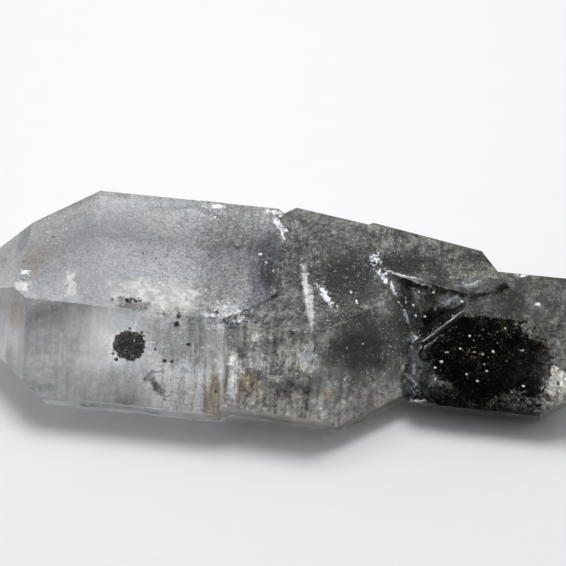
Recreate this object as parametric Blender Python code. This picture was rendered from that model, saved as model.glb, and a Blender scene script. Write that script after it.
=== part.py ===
"""A floater cluster of clear to smoky quartz with dark stibnite grown into it.

Four doubly terminated crystals, all lying almost along +X, have grown through each other: a long left
one, a stout middle one, a thin one behind it and a small dark right one. Every crystal is a hexagonal
prism closed at each end by rhombohedron faces. Metres, +Z up, the origin under the middle of the cluster.
"""

import math
import random
from dataclasses import dataclass, field

import bmesh
import bpy
from mathutils import Matrix, Vector, noise

MM = 0.001

# Quartz: the six prism faces by the way they look, as an angle from the front (-Y) up to the top (+Z),
# and the lean of a rhombohedron face's normal from the prism face below it towards the crystal's end.
PRISM_ANGLES = {
    "top": 90,
    "front_upper": 30,
    "front_lower": -30,
    "bottom": -90,
    "back_lower": -150,
    "back_upper": 150,
}
RHOMB_LEAN = math.radians(38.2)

# The cluster's own numbers, in millimetres.
MIDDLE_OF_CLUSTER = Vector((-0.80, 3.75, 0.0))
ROUGH_BLOCK = 120.0
PARTING_HEIGHT = 3.8
PARTING_GAP = 0.3
POCKET_CLEARANCE = 0.4
LEDGE_ROOT = 0.6


@dataclass
class Crystal:
    """One quartz crystal, in millimetres.

    at is a point on its long axis, yaw turns that axis about +Z in degrees, sides are the distances of
    the prism faces from the axis, tilts lean a prism face towards the right end in degrees, and left and
    right say where each end face's plane meets the axis, measured along it from at.
    """

    at: tuple
    sides: dict
    left: dict
    right: dict
    yaw: float = 0.0
    tilts: dict = field(default_factory=dict)


LONG_CRYSTAL = Crystal(
    at=(0, -3.15, 5.4),
    sides=dict(top=5.4, front_upper=8.35, front_lower=10.15, bottom=5.5, back_lower=8.0, back_upper=8.1),
    left=dict(top=-27.7, front_upper=-30.3, front_lower=-31.3, bottom=-30, back_lower=-27, back_upper=-26.3),
    right=dict(top=7.1, front_upper=7.3, front_lower=9.2, bottom=12, back_lower=11, back_upper=9.5),
)
MIDDLE_CRYSTAL = Crystal(
    at=(0, -3.5, 5.3),
    yaw=-3,
    sides=dict(top=5.15, front_upper=7.95, front_lower=9.15, bottom=5.4, back_lower=8.2, back_upper=8.85),
    tilts=dict(back_upper=6),
    left=dict(top=-8.5, front_upper=-14, front_lower=-14, bottom=-14, back_lower=-14, back_upper=-11),
    right=dict(top=15.8, front_upper=14.5, front_lower=18.3, bottom=19, back_lower=19, back_upper=20),
)
BACK_CRYSTAL = Crystal(
    at=(10, -2.1, 6.6),
    yaw=-12,
    sides=dict(top=3.75, front_upper=2.3, front_lower=4.2, bottom=4.4, back_lower=4.6, back_upper=5.7),
    left=dict(top=-9, front_upper=-8.3, front_lower=-4.5, bottom=-8, back_lower=-10, back_upper=-11),
    right=dict(top=13.9, front_upper=9, front_lower=10, bottom=11, back_lower=12, back_upper=12.9),
)
RIGHT_CRYSTAL = Crystal(
    at=(0, -3.5, 5.0),
    sides=dict(top=4.8, front_upper=4.22, front_lower=6.45, bottom=4.2, back_lower=6.0, back_upper=4.95),
    left=dict(top=9.6, front_upper=7.2, front_lower=6.0, bottom=6, back_lower=6, back_upper=7),
    right=dict(top=31.5, front_upper=31.5, front_lower=30.8, bottom=30, back_lower=29, back_upper=32),
)

CRYSTALS = {
    "long": LONG_CRYSTAL,
    "middle": MIDDLE_CRYSTAL,
    "back": BACK_CRYSTAL,
    "right": RIGHT_CRYSTAL,
}

# Growth ledges: crystal, prism face, middle along and across as shares of the face's half sizes, length
# along the crystal in millimetres, width as a share of the face's, height, corners and turn in the face.
# A ledge of four corners and no turn crosses the face like the coarse steps of a quartz prism.
LEDGES = (
    ("long", "front_upper", -0.22, 0.02, 3.4, 0.90, 0.08, 4, 0),
    ("long", "front_upper", 0.34, -0.04, 1.6, 0.84, 0.07, 4, 0),
    ("long", "front_upper", 0.66, 0.00, 0.9, 0.90, 0.10, 4, 0),
    ("long", "top", -0.12, -0.02, 2.6, 0.86, 0.07, 4, 0),
    ("long", "top", 0.74, 0.04, 1.1, 0.84, 0.10, 4, 0),
    ("long", "back_upper", -0.30, 0.06, 6.0, 0.52, 0.18, 6, 8),
    ("long", "back_upper", 0.26, -0.02, 2.2, 0.84, 0.14, 4, 0),
    ("long", "back_lower", -0.06, 0.06, 7.0, 0.50, 0.20, 5, 6),
    ("long", "back_lower", -0.78, 0.00, 1.6, 0.70, 0.15, 4, 0),
    ("long", "front_lower", -0.10, -0.04, 6.0, 0.42, 0.16, 6, 3),
    ("middle", "front_upper", 0.50, 0.00, 0.8, 0.84, 0.10, 4, 0),
    ("middle", "top", -0.04, -0.30, 0.7, 0.46, 0.10, 4, 0),
    ("middle", "back_upper", 0.30, 0.00, 3.0, 0.44, 0.16, 6, 14),
    ("right", "top", 0.46, 0.02, 1.2, 0.80, 0.08, 4, 0),
    ("right", "front_upper", 0.74, 0.00, 1.3, 0.80, 0.09, 4, 0),
    ("right", "back_upper", 0.10, 0.00, 4.2, 0.46, 0.14, 6, 10),
    ("right", "back_lower", -0.05, 0.04, 3.4, 0.48, 0.14, 5, 5),
)

# Growth pits: crystal, prism face, middle along and across as shares, width, depth, corners and turn.
PITS = (
    ("long", "top", -0.74, 0.26, 1.3, 0.30, 3, 30),
    ("long", "top", 0.52, 0.62, 1.6, 0.34, 4, 20),
    ("long", "front_upper", -0.72, 0.36, 1.1, 0.25, 3, 0),
    ("long", "back_upper", 0.02, -0.42, 1.5, 0.32, 3, 50),
    ("long", "back_lower", 0.46, 0.24, 1.6, 0.32, 4, 15),
    ("middle", "front_upper", 0.30, -0.46, 1.2, 0.25, 3, 10),
    ("middle", "back_upper", 0.62, 0.30, 1.1, 0.26, 3, 70),
    ("right", "back_upper", 0.56, 0.22, 0.9, 0.22, 3, 40),
)


@dataclass
class Lump:
    """A grainy lump of stibnite: middle, three half lengths, its tilt about X in degrees, and its needles."""

    at: tuple
    radii: tuple
    tilt: float
    needles: int


STIBNITE_MASS = (
    Lump(at=(17.4, -5.4, 5.1), radii=(4.5, 1.7, 3.5), tilt=-30, needles=14),
    Lump(at=(20.6, -5.3, 4.6), radii=(2.6, 1.3, 2.3), tilt=-30, needles=9),
    Lump(at=(14.4, -3.4, 5.6), radii=(2.5, 1.7, 1.8), tilt=-12, needles=8),
)
STIBNITE_SPOT = (Lump(at=(-11.7, -6.2, 3.4), radii=(1.25, 1.2, 1.2), tilt=0, needles=12),)
LUMP_ROUGHNESS = 0.16
NEEDLE_WIDTH = 0.26
NEEDLE_LENGTH = 0.42

QUARTZ_COLOUR = (0.56, 0.57, 0.57)
STIBNITE_COLOUR = (0.035, 0.033, 0.028)


def clear_scene():
    """Starts from an empty scene."""
    for old in list(bpy.data.objects):
        bpy.data.objects.remove(old, do_unlink=True)


def new_collection(name):
    collection = bpy.data.collections.new(name)
    bpy.context.scene.collection.children.link(collection)
    return collection


def new_object(name, mesh_builder, collection):
    """Turns a bmesh into an object. All shapes are in millimetres until in_metres is called."""
    bmesh.ops.recalc_face_normals(mesh_builder, faces=mesh_builder.faces)
    bmesh.ops.triangulate(mesh_builder, faces=mesh_builder.faces)
    mesh = bpy.data.meshes.new(name)
    mesh_builder.to_mesh(mesh)
    mesh_builder.free()
    made = bpy.data.objects.new(name, mesh)
    collection.objects.link(made)
    return made


def as_cutter(made):
    made.hide_render = True
    made.display_type = "WIRE"
    return made


def solid_material(name, colour, roughness, metallic, transmission=0.0):
    material = bpy.data.materials.new(name)
    material.use_nodes = True
    shader = material.node_tree.nodes["Principled BSDF"]
    shader.inputs["Base Color"].default_value = (*colour, 1.0)
    shader.inputs["Roughness"].default_value = roughness
    shader.inputs["Metallic"].default_value = metallic
    shader.inputs["Transmission Weight"].default_value = transmission
    shader.inputs["IOR"].default_value = 1.544
    return material


def boolean(made, operation, others):
    """Joins a group of solids to an object, or cuts them from it, in one exact step."""
    group = new_collection(f"{made.name} {operation.lower()}")
    for other in others:
        group.objects.link(other)
    step = made.modifiers.new(operation.title(), "BOOLEAN")
    step.operation = operation
    step.solver = "EXACT"
    step.operand_type = "COLLECTION"
    step.collection = group
    graph = bpy.context.evaluated_depsgraph_get()
    mesh = bpy.data.meshes.new_from_object(made.evaluated_get(graph))
    made.modifiers.clear()
    made.data = mesh
    bpy.data.collections.remove(group)


def unite(made, others):
    """Joins the others to an object and removes them."""
    boolean(made, "UNION", others)
    for other in others:
        bpy.data.objects.remove(other, do_unlink=True)


def in_metres(made):
    """Brings a finished piece to its real size, with the origin under the middle of the cluster."""
    made.data.transform(Matrix.Scale(MM, 4) @ Matrix.Translation(MIDDLE_OF_CLUSTER))


def side_direction(side):
    """The outward direction of a prism face, before the crystal is turned."""
    angle = math.radians(PRISM_ANGLES[side])
    return Vector((0.0, -math.cos(angle), math.sin(angle)))


def prism_plane(crystal, side):
    """A point and the normal of a prism face."""
    turn = Matrix.Rotation(math.radians(crystal.yaw), 3, "Z")
    tilt = math.radians(crystal.tilts.get(side, 0.0))
    normal = turn @ (side_direction(side) * math.cos(tilt) + Vector((math.sin(tilt), 0.0, 0.0)))
    return Vector(crystal.at) + normal * crystal.sides[side], normal


def end_plane(crystal, side, end):
    """A point and the normal of the rhombohedron face above a prism face. end is -1 left or 1 right."""
    turn = Matrix.Rotation(math.radians(crystal.yaw), 3, "Z")
    reach = (crystal.left if end < 0 else crystal.right)[side]
    lean = side_direction(side) * math.cos(RHOMB_LEAN) + Vector((end * math.sin(RHOMB_LEAN), 0.0, 0.0))
    return Vector(crystal.at) + turn @ Vector((reach, 0.0, 0.0)), turn @ lean


def crystal_solid(name, crystal, collection):
    """Cleaves one crystal out of a rough block, face by face."""
    work = bmesh.new()
    bmesh.ops.create_cube(work, size=ROUGH_BLOCK)
    planes = [prism_plane(crystal, side) for side in PRISM_ANGLES]
    planes += [end_plane(crystal, side, end) for side in PRISM_ANGLES for end in (-1, 1)]
    for point, normal in planes:
        cut = bmesh.ops.bisect_plane(
            work,
            geom=work.verts[:] + work.edges[:] + work.faces[:],
            plane_co=point,
            plane_no=normal,
            clear_outer=True,
        )
        rim = [item for item in cut["geom_cut"] if isinstance(item, bmesh.types.BMEdge)]
        if rim:
            bmesh.ops.edgenet_fill(work, edges=rim)
    return new_object(name, work, collection)


def face_frame(solid, crystal, side, along, across):
    """A frame on a prism face and the face's width, in millimetres.

    X runs along the crystal's axis and Z points out. along and across are shares of the half sizes.
    """
    point, normal = prism_plane(crystal, side)
    turn = Matrix.Rotation(math.radians(crystal.yaw), 3, "Z")
    axis = turn @ Vector((1.0, 0.0, 0.0))
    axis = (axis - normal * axis.dot(normal)).normalized()
    up = normal.cross(axis)
    face = max(solid.data.polygons, key=lambda polygon: polygon.normal.dot(normal))
    corners = [solid.data.vertices[i].co - point for i in face.vertices]
    lengths = [corner.dot(axis) for corner in corners]
    widths = [corner.dot(up) for corner in corners]
    x = (max(lengths) + min(lengths) + along * (max(lengths) - min(lengths))) / 2
    y = (max(widths) + min(widths) + across * (max(widths) - min(widths))) / 2
    frame = Matrix((axis, up, normal)).transposed().to_4x4()
    frame.translation = point + axis * x + up * y
    return frame, max(widths) - min(widths)


def ledge(name, place, face_width, length, share, height, corners, turn, collection):
    """A low flat-topped plate that grew on a prism face, rooted well inside the crystal."""
    work = bmesh.new()
    bmesh.ops.create_cone(
        work,
        cap_ends=True,
        segments=corners,
        radius1=0.5 / math.cos(math.pi / corners),
        radius2=0.5 / math.cos(math.pi / corners),
        depth=1.0,
    )
    to_square = Matrix.Rotation(math.pi / corners, 4, "Z")
    size = Matrix.Diagonal((length, share * face_width, height + LEDGE_ROOT, 1.0))
    lift = Matrix.Translation((0.0, 0.0, (height - LEDGE_ROOT) / 2))
    work.transform(place @ Matrix.Rotation(math.radians(turn), 4, "Z") @ lift @ size @ to_square)
    return new_object(name, work, collection)


def pit(name, place, width, depth, corners, turn, collection):
    """A cutter for a pointed growth pit in a prism face."""
    work = bmesh.new()
    bmesh.ops.create_cone(
        work,
        cap_ends=True,
        segments=corners,
        radius1=0.0,
        radius2=width,
        depth=4 * depth,
    )
    lift = Matrix.Translation((0.0, 0.0, depth))
    stretch = Matrix.Diagonal((0.7, 1.0, 1.0, 1.0))
    work.transform(place @ Matrix.Rotation(math.radians(turn), 4, "Z") @ stretch @ lift)
    return as_cutter(new_object(name, work, collection))


def block(name, low, high, collection):
    """A plain cutting block between two heights in millimetres."""
    work = bmesh.new()
    bmesh.ops.create_cube(work, size=1.0)
    size = Matrix.Diagonal((ROUGH_BLOCK, ROUGH_BLOCK, high - low, 1.0))
    work.transform(Matrix.Translation((0.0, 0.0, (low + high) / 2)) @ size)
    return as_cutter(new_object(name, work, collection))


def lump_frame(lump):
    frame = Matrix.Rotation(math.radians(lump.tilt), 4, "X")
    frame.translation = Vector(lump.at)
    return frame


def lump_solid(name, lump, collection):
    """A knobbly ball of grown-together grains."""
    work = bmesh.new()
    bmesh.ops.create_icosphere(work, subdivisions=3, radius=1.0)
    for point in work.verts:
        knob = noise.noise(point.co * 2.6 + Vector(lump.at))
        point.co *= 1.0 - LUMP_ROUGHNESS * (0.5 - knob)
    work.transform(lump_frame(lump) @ Matrix.Diagonal((*lump.radii, 1.0)))
    return new_object(name, work, collection)


def lump_pocket(name, lump, collection):
    """The room that a lump leaves in the quartz, wider all round by the clearance."""
    work = bmesh.new()
    bmesh.ops.create_icosphere(work, subdivisions=3, radius=1.0)
    wider = [radius + POCKET_CLEARANCE for radius in lump.radii]
    work.transform(lump_frame(lump) @ Matrix.Diagonal((*wider, 1.0)))
    return new_object(name, work, collection)


def needle_frames(lump, seed):
    """Where a lump's needles stand: each leaves the surface along its own steady direction."""
    draw = random.Random(seed)
    for _ in range(lump.needles):
        direction = Vector((draw.uniform(-1, 1), draw.uniform(-1, 1), draw.uniform(-1, 1))).normalized()
        root = lump_frame(lump) @ Vector(a * b * 0.72 for a, b in zip(direction, lump.radii))
        outward = (root - Vector(lump.at)).normalized()
        frame = outward.to_track_quat("Z", "Y").to_matrix().to_4x4()
        frame.translation = root
        yield frame, draw.uniform(0.6, 1.0) * NEEDLE_LENGTH


def needle_solid(name, frame, length, width, collection):
    """One blade: a flattened six-sided prism that narrows to its tip."""
    work = bmesh.new()
    bmesh.ops.create_cone(
        work,
        cap_ends=True,
        segments=6,
        radius1=width / 2,
        radius2=width / 4,
        depth=2 * length,
    )
    work.transform(frame @ Matrix.Diagonal((1.0, 0.6, 1.0, 1.0)))
    return new_object(name, work, collection)


def stibnite(name, lumps, parts, cutters):
    """One piece of stibnite and the cutter of its pocket."""
    bodies = [lump_solid(f"{name} lump {i}", lump, parts) for i, lump in enumerate(lumps)]
    rooms = [lump_pocket(f"{name} room {i}", lump, cutters) for i, lump in enumerate(lumps)]
    for i, lump in enumerate(lumps):
        for j, (frame, length) in enumerate(needle_frames(lump, seed=10 + i)):
            label = f"{name} needle {i} {j}"
            bodies.append(needle_solid(label, frame, length, NEEDLE_WIDTH, parts))
    piece, pocket = bodies[0], rooms[0]
    unite(piece, bodies[1:])
    unite(pocket, rooms[1:])
    piece.name = name
    pocket.name = f"{name}_pocket"
    return piece, as_cutter(pocket)


def quartz_cluster(parts, cutters):
    """The four crystals and their ledges in one solid, pitted, and flat where it rests."""
    solids = {name: crystal_solid(f"{name} crystal", crystal, parts) for name, crystal in CRYSTALS.items()}
    ledges, pits = [], []
    for i, (name, side, along, across, *size) in enumerate(LEDGES):
        place, width = face_frame(solids[name], CRYSTALS[name], side, along, across)
        ledges.append(ledge(f"ledge {i}", place, width, *size, parts))
    for i, (name, side, along, across, *size) in enumerate(PITS):
        place, _ = face_frame(solids[name], CRYSTALS[name], side, along, across)
        pits.append(pit(f"pit {i}", place, *size, cutters))
    cluster = solids["long"]
    unite(cluster, [solid for name, solid in solids.items() if name != "long"] + ledges)
    boolean(cluster, "DIFFERENCE", pits + [block("under the rest face", -10.0, 0.0, cutters)])
    return cluster


def main():
    clear_scene()
    parts = new_collection("quartz_with_stibnite")
    cutters = new_collection("cutters")
    upper = quartz_cluster(parts, cutters)
    upper.name = "quartz_upper"
    lower = bpy.data.objects.new("quartz_lower", upper.data.copy())
    parts.objects.link(lower)

    mass, mass_pocket = stibnite("stibnite_mass", STIBNITE_MASS, parts, cutters)
    spot, spot_pocket = stibnite("stibnite_spot", STIBNITE_SPOT, parts, cutters)

    half_gap = PARTING_GAP / 2
    below = block("below the parting", -20.0, PARTING_HEIGHT + half_gap, cutters)
    above = block("above the parting", PARTING_HEIGHT - half_gap, 40.0, cutters)
    for half, waste in ((upper, below), (lower, above)):
        boolean(half, "DIFFERENCE", [waste, mass_pocket, spot_pocket])

    clear = solid_material("clear smoky quartz", QUARTZ_COLOUR, 0.08, 0.0, transmission=1.0)
    dark = solid_material("dark stibnite", STIBNITE_COLOUR, 0.35, 0.6)
    for made, material in ((upper, clear), (lower, clear), (mass, dark), (spot, dark)):
        in_metres(made)
        made.data.materials.clear()
        made.data.materials.append(material)


main()
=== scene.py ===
# %% [markdown]
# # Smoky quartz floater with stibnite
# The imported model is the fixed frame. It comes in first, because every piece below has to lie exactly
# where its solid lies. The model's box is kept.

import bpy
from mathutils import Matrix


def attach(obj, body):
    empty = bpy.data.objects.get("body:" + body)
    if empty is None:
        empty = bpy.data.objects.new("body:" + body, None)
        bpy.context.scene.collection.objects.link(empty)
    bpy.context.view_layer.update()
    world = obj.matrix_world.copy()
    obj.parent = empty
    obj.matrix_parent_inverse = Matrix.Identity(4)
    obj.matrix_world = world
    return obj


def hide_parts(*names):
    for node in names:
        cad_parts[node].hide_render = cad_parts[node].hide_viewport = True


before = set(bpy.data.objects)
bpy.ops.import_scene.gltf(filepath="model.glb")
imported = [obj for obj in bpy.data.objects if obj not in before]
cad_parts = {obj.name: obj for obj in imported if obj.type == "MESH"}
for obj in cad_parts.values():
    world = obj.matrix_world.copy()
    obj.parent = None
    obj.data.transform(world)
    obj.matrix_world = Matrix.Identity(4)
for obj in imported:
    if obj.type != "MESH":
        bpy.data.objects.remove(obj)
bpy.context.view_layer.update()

# %% Tools of the lesson
import math
import random

import bpy
from mathutils import Matrix, Vector, noise

MM = 0.001

# %% [markdown]
# ## The camera
# The photograph looks down on the crystal at 48 degrees and a little from the right, from far away, so
# parallel edges stay parallel. A long lens at 200 mm gives the same flat view. The aim was found by
# fitting the crystal's own faces, whose angles quartz fixes, to the edges in the photograph.

# %% Camera
VIEW_HEIGHT, VIEW_TURN, VIEW_DISTANCE = math.radians(48), math.radians(8), 0.2
AIM = Vector((-0.0008, 0.00375, 0.005))

towards_camera = Vector((
    math.sin(VIEW_TURN) * math.cos(VIEW_HEIGHT),
    -math.cos(VIEW_TURN) * math.cos(VIEW_HEIGHT),
    math.sin(VIEW_HEIGHT),
))
camera = bpy.data.objects.new("camera", bpy.data.cameras.new("camera"))
bpy.context.scene.collection.objects.link(camera)
camera.location = AIM + towards_camera * VIEW_DISTANCE
camera.rotation_euler = towards_camera.to_track_quat("Z", "Y").to_euler()
camera.data.lens, camera.data.sensor_width, camera.data.clip_start = 150, 36, 0.001
bpy.context.scene.camera = camera
bpy.context.scene.view_settings.view_transform = "Standard"
print("camera at", [round(v, 4) for v in camera.location])

# %% [markdown]
# ## Shader sums
# A material is a net of nodes. Wire wraps one socket and lets Python's own signs lay the Math nodes,
# so a mask can be written as a sum. Bench holds the net of one material and adds any other node.

# %% Wire and Bench
class Wire:
    """One output socket that adds, multiplies and compares like a number."""

    def __init__(self, bench, socket):
        self.bench = bench
        self.socket = socket

    def maths(self, operation, *values):
        return self.bench.maths(operation, *values)

    def __add__(self, other):
        return self.maths("ADD", self, other)

    def __radd__(self, other):
        return self.maths("ADD", other, self)

    def __sub__(self, other):
        return self.maths("SUBTRACT", self, other)

    def __rsub__(self, other):
        return self.maths("SUBTRACT", other, self)

    def __mul__(self, other):
        return self.maths("MULTIPLY", self, other)

    def __rmul__(self, other):
        return self.maths("MULTIPLY", other, self)

    def __pow__(self, other):
        return self.maths("POWER", self, other)

    def either(self, other):
        return self.maths("MAXIMUM", self, other)


class Bench:
    """The nodes of one material. Its place is the Object coordinate in millimetres."""

    def __init__(self, name):
        self.material = bpy.data.materials.new(name)
        self.material.use_nodes = True
        self.tree = self.material.node_tree
        self.tree.nodes.clear()
        spot = self.add("ShaderNodeTexCoord", out="Object")
        self.place = self.vector("SCALE", spot, Scale=1 / MM)

    def add(self, kind, settings=None, inputs=None, out=0):
        """A node of that kind with its settings and the values or links of its sockets."""
        made = self.tree.nodes.new(kind)
        for name, value in (settings or {}).items():
            setattr(made, name, value)
        for name, value in (inputs or {}).items():
            if isinstance(value, Wire):
                self.tree.links.new(value.socket, made.inputs[name])
            else:
                made.inputs[name].default_value = value
        return Wire(self, made.outputs[out])

    def maths(self, operation, *values):
        return self.add("ShaderNodeMath", {"operation": operation}, dict(enumerate(values)))

    def vector(self, operation, *values, out=0, **named):
        inputs = {**dict(enumerate(values)), **named}
        return self.add("ShaderNodeVectorMath", {"operation": operation}, inputs, out)

    def stretched(self, scale, middle=(0, 0, 0)):
        """The place as measured in a box of the given half sizes round its middle."""
        values = {"Vector": self.place, "Location": middle, "Scale": scale}
        return self.add("ShaderNodeMapping", {"vector_type": "TEXTURE"}, values)

    def clouds(self, size, detail=3.0, rough=0.5, place=None, twist=0.0):
        """Soft noise from 0 to 1 whose lumps are size millimetres across."""
        values = {"Vector": place or self.place, "Scale": 1 / size}
        values |= {"Detail": detail, "Roughness": rough, "Distortion": twist}
        return self.add("ShaderNodeTexNoise", None, values)

    def slope(self, value, start, end, low=0.0, high=1.0):
        """Follows value smoothly from low at start to high at end."""
        values = {"Value": value, "From Min": start, "From Max": end, "To Min": low, "To Max": high}
        return self.add("ShaderNodeMapRange", {"interpolation_type": "SMOOTHSTEP"}, values)

    def patch(self, middle, half, soft, ragged=None):
        """1 inside an oval of those half sizes, fading to 0 outside it."""
        far = self.vector("LENGTH", self.stretched(half, middle), out="Value")
        if ragged is not None:
            far = far + ragged
        return self.slope(far, 1 + soft, 1 - soft)

    def blend(self, share, under, over):
        """Over laid on under as far as share says. Both are colours."""
        under, over = [(*c, 1.0) if isinstance(c, tuple) else c for c in (under, over)]
        return self.add("ShaderNodeMix", {"data_type": "RGBA"}, {0: share, 6: under, 7: over}, out=2)

    def times(self, colour, other):
        """The product of two colours."""
        values = {0: 1.0, 6: colour, 7: (*other, 1.0) if isinstance(other, tuple) else other}
        return self.add("ShaderNodeMix", {"data_type": "RGBA", "blend_type": "MULTIPLY"}, values, out=2)

    def bump(self, height, distance):
        """A normal from a height of 0 to 1, where 1 is distance millimetres high."""
        return self.add("ShaderNodeBump", None, {"Height": height, "Distance": distance * MM, "Strength": 1.0})

    def finish(self, **surface):
        """Ends the net in a Principled shader."""
        settings = {name.replace("_", " "): value for name, value in surface.items()}
        shader = self.add("ShaderNodeBsdfPrincipled", None, settings)
        self.output = self.tree.nodes.new("ShaderNodeOutputMaterial")
        self.tree.links.new(shader.socket, self.output.inputs["Surface"])
        return self.material


print("shader bench ready")

# %% [markdown]
# ## Hand tools
# Blender's operators work on whatever is selected, and the frame leaves its nodes selected, so each
# piece starts by clearing the selection. The shapes are cut in millimetres, because exact cuts
# of crystals a few hundredths of a metre long would run into rounding, and shrunk to metres at the end.

# %% Hand tools
def only(*pieces):
    """Selects these pieces and nothing else, the first one active."""
    bpy.ops.object.select_all(action="DESELECT")
    for piece in pieces:
        piece.select_set(True)
    bpy.context.view_layer.objects.active = pieces[0]


def fresh(name):
    """Names the primitive that was just added."""
    piece = bpy.context.object
    piece.name = piece.data.name = name
    return piece


def settle(piece):
    """Puts a piece's place, turn and size into its mesh."""
    only(piece)
    bpy.ops.object.transform_apply(location=True, rotation=True, scale=True)


def cleave(piece, planes):
    """Cuts off and closes all that lies outside each plane, given as a point and a normal."""
    only(piece)
    bpy.ops.object.mode_set(mode="EDIT")
    for point, normal in planes:
        bpy.ops.mesh.select_all(action="SELECT")
        bpy.ops.mesh.bisect(plane_co=point, plane_no=normal, use_fill=True, clear_outer=True)
    bpy.ops.object.mode_set(mode="OBJECT")


def apply(piece, kind, **settings):
    """Adds a modifier with these settings and applies it."""
    only(piece)
    step = piece.modifiers.new(kind.title(), kind)
    for name, value in settings.items():
        setattr(step, name, value)
    bpy.ops.object.modifier_apply(modifier=step.name)


def combine(piece, others, operation):
    """Joins the others to a piece or cuts them from it, in one exact step, and removes them."""
    group = bpy.data.collections.new("group")
    for other in others:
        group.objects.link(other)
    apply(piece, "BOOLEAN", operation=operation, solver="EXACT", operand_type="COLLECTION", collection=group)
    bpy.data.collections.remove(group)
    for other in others:
        bpy.data.objects.remove(other)


def clean(piece, merge=0.002):
    """Merges doubled points and points the faces outwards."""
    only(piece)
    bpy.ops.object.mode_set(mode="EDIT")
    bpy.ops.mesh.select_all(action="SELECT")
    bpy.ops.mesh.remove_doubles(threshold=merge)
    bpy.ops.mesh.normals_make_consistent(inside=False)
    bpy.ops.object.mode_set(mode="OBJECT")


def finish_piece(piece, material, slot, *nodes):
    """Shrinks a piece made in millimetres to metres, gives it its finish and sets it on the frame."""
    piece.scale = (MM, MM, MM)
    settle(piece)
    piece.data.materials.clear()
    piece.data.materials.append(material)
    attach(piece, "root")
    if nodes:
        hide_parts(*nodes)
    print(piece.name, len(piece.data.polygons), "faces")


# %% [markdown]
# ## The quartz crystals
# Each crystal is a six-sided prism closed at both ends by rhombohedron faces, which lean 38.2 degrees
# from the prism faces in every quartz crystal. A real one grows these faces; here a block is cleaved
# along the same planes, because that keeps the angles true however wide each face becomes.

# %% The planes of a crystal
FACE_ANGLES = {
    "top": 90, "front_upper": 30, "front_lower": -30, "bottom": -90, "back_lower": -150, "back_upper": 150,
}
LEAN = math.radians(38.2)


def side_way(side):
    """Which way a prism face looks, from the front (-Y) up to the top (+Z)."""
    angle = math.radians(FACE_ANGLES[side])
    return Vector((0.0, -math.cos(angle), math.sin(angle)))


def crystal_planes(at, sides, left, right, yaw=0.0, tilts={}):
    """Every face of one crystal: the prism's distances from its axis, and where the end faces meet it."""
    turn = Matrix.Rotation(math.radians(yaw), 3, "Z")
    for side in FACE_ANGLES:
        tilt = math.radians(tilts.get(side, 0.0))
        normal = turn @ (side_way(side) * math.cos(tilt) + Vector((math.sin(tilt), 0, 0)))
        yield Vector(at) + normal * sides[side], normal
        for reach, end in ((left[side], -1), (right[side], 1)):
            lean = side_way(side) * math.cos(LEAN) + Vector((end * math.sin(LEAN), 0, 0))
            yield Vector(at) + turn @ Vector((reach, 0, 0)), turn @ lean


# %% [markdown]
# ## Five crystals
# The long pearly crystal, the dark one grown through its middle, a low one behind, the small dark one on
# the right, and a very small one at the foot of the notch beside it. Each block is a cube, cleaved face by
# face. The numbers are millimetres from the crystal's own middle, read off with the fitted camera.

# %% Cleave the five crystals
BLOCK = 120

CRYSTALS = dict(
    long=dict(
        at=(-0.8, 0.60, 5.4),
        sides=dict(top=5.4, front_upper=8.35, front_lower=10.15, bottom=5.5, back_lower=8.0, back_upper=8.1),
        left=dict(
            top=-27.7, front_upper=-30.3, front_lower=-31.3, bottom=-30, back_lower=-27, back_upper=-26.3,
        ),
        right=dict(top=7.1, front_upper=7.3, front_lower=9.2, bottom=12, back_lower=11, back_upper=9.5),
    ),
    middle=dict(
        at=(-0.8, 0.25, 5.3), yaw=-3, tilts=dict(back_upper=6),
        sides=dict(top=5.15, front_upper=7.95, front_lower=9.15, bottom=5.4, back_lower=8.2, back_upper=8.85),
        left=dict(top=-8.5, front_upper=-14, front_lower=-14, bottom=-14, back_lower=-14, back_upper=-11),
        right=dict(top=15.8, front_upper=14.5, front_lower=18.3, bottom=19, back_lower=19, back_upper=20),
    ),
    back=dict(
        at=(9.2, 1.65, 6.6), yaw=-12,
        sides=dict(top=3.75, front_upper=2.3, front_lower=4.2, bottom=4.4, back_lower=4.6, back_upper=5.7),
        left=dict(top=-9, front_upper=-8.3, front_lower=-4.5, bottom=-8, back_lower=-10, back_upper=-11),
        right=dict(top=13.9, front_upper=9, front_lower=10, bottom=11, back_lower=12, back_upper=12.9),
    ),
    right=dict(
        at=(-0.8, 0.25, 5.0),
        sides=dict(top=4.8, front_upper=4.22, front_lower=6.45, bottom=4.2, back_lower=6.0, back_upper=4.95),
        left=dict(top=9.6, front_upper=7.2, front_lower=6.0, bottom=6, back_lower=6, back_upper=7),
        right=dict(top=31.5, front_upper=31.5, front_lower=30.8, bottom=30, back_lower=29, back_upper=32),
    ),
    low=dict(
        at=(12.0, -3.4, 2.9),
        sides=dict(top=1.2, front_upper=2.0, front_lower=2.1, bottom=1.6, back_lower=1.5, back_upper=1.5),
        left=dict(
            top=-3.2, front_upper=-3.27, front_lower=-3.65, bottom=-3.2, back_lower=-3.2, back_upper=-3.2,
        ),
        right=dict(top=5, front_upper=5, front_lower=5, bottom=5, back_lower=5, back_upper=5),
    ),
)
solids = {}
for name, faces in CRYSTALS.items():
    bpy.ops.mesh.primitive_cube_add(size=BLOCK)
    solids[name] = fresh(f"{name}_crystal")
    cleave(solids[name], crystal_planes(**faces))
    print(name, "crystal:", len(solids[name].data.polygons), "faces")

# %% [markdown]
# ## Staying inside
# Whatever is sealed in the quartz has to lie under its skin. The planes that cleaved the crystals also
# tell how far outside a point lies, so a stray point is pushed back plane by plane.

# %% Keep a point inside
UNDER_SKIN = 0.08
PUSHES = 6


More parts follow.
